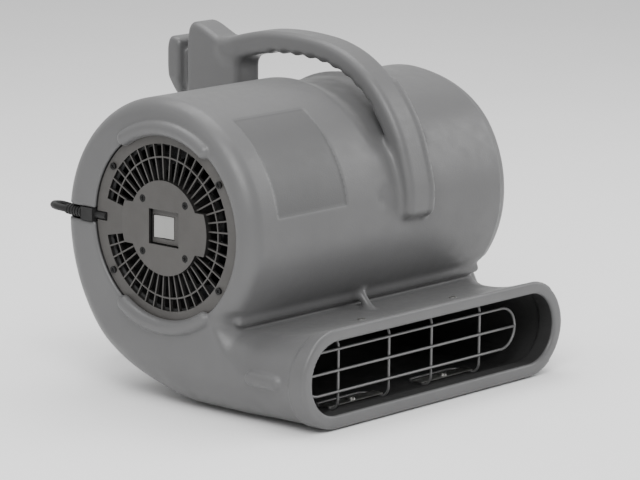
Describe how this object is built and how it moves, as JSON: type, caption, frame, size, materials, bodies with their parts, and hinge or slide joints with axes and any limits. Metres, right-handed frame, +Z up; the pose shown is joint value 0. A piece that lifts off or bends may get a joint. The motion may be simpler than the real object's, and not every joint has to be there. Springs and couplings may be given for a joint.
{
  "type": "centrifugal air mover",
  "caption": "Portable centrifugal blower in a moulded grey shell with side intake grilles, a low wide guarded outlet and a carrying handle.",
  "frame": {"origin": "middle of the object's base on the floor, without the lead", "axes": "+X along the fan axis, from the switch side to the other side; -Y the way the air leaves; +Z up"},
  "size_m": [0.462, 0.452, 0.3961],
  "materials": {
    "housing": "semi-matte moulded",
    "grille": "fine textured",
    "zinc": "zinc plated",
    "black_screw": "black oxide",
    "switch_dark": "moulded",
    "rocker": "moulded",
    "motor_paint": "satin",
    "cast_alu": "as cast",
    "lamination": "laminated",
    "copper": "enamelled copper",
    "steel": "ground",
    "wheel": "galvanised",
    "wire": "grey coated",
    "rubber": "moulded",
    "cord": "extruded jacket",
    "tie": "hook and loop",
    "capacitor": "moulded",
    "brass": "stamped"
  },
  "bodies": {
    "frame": {"housing": "housing", "handle": "housing", "intake_grille_left": "grille", "intake_grille_right": "grille", "grille_screws_left": "black_screw", "grille_screws_right": "black_screw", "motor_mount_screws": "black_screw", "switch_bezel": "grille", "switch_body": "switch_dark", "run_capacitor": "capacitor", "capacitor_clip": "zinc", "motor_can": "motor_paint", "end_bell_left": "cast_alu", "end_bell_right": "cast_alu", "stator_core": "lamination", "stator_windings": "copper", "bearing_left": "steel", "bearing_right": "steel", "guard_rails": "wire", "guard_hoop_left": "wire", "guard_hoop_right": "wire", "guard_clips": "zinc", "guard_clip_screws": "zinc", "duct_top_screws": "zinc", "rubber_feet": "rubber", "cord_gland": "rubber", "strain_relief": "rubber", "power_cord": "cord", "cord_coil": "cord", "cord_tie": "tie", "plug_lead": "cord", "plug_body": "rubber", "plug_blades": "brass", "plug_earth_pin": "brass"},
    "fan": {"motor_shaft": "steel", "rotor_core": "lamination", "impeller_hub": "cast_alu", "hub_set_screw": "black_screw", "impeller_disc": "wheel", "impeller_blades_left": "wheel", "impeller_blades_right": "wheel", "impeller_ring_left": "wheel", "impeller_ring_right": "wheel"},
    "rocker": {"switch_rocker": "rocker"}
  },
  "joints": [
    {"name": "fan_spin", "type": "hinge", "parent": "frame", "child": "fan", "pos_m": [0, -0.012, 0.205], "axis": [1, 0, 0], "continuous": true},
    {"name": "rocker_tilt", "type": "hinge", "parent": "frame", "child": "rocker", "pos_m": [-0.213, -0.0075, 0.205], "axis": [0, 0, 1], "range_deg": [-12, 0]}
  ]
}
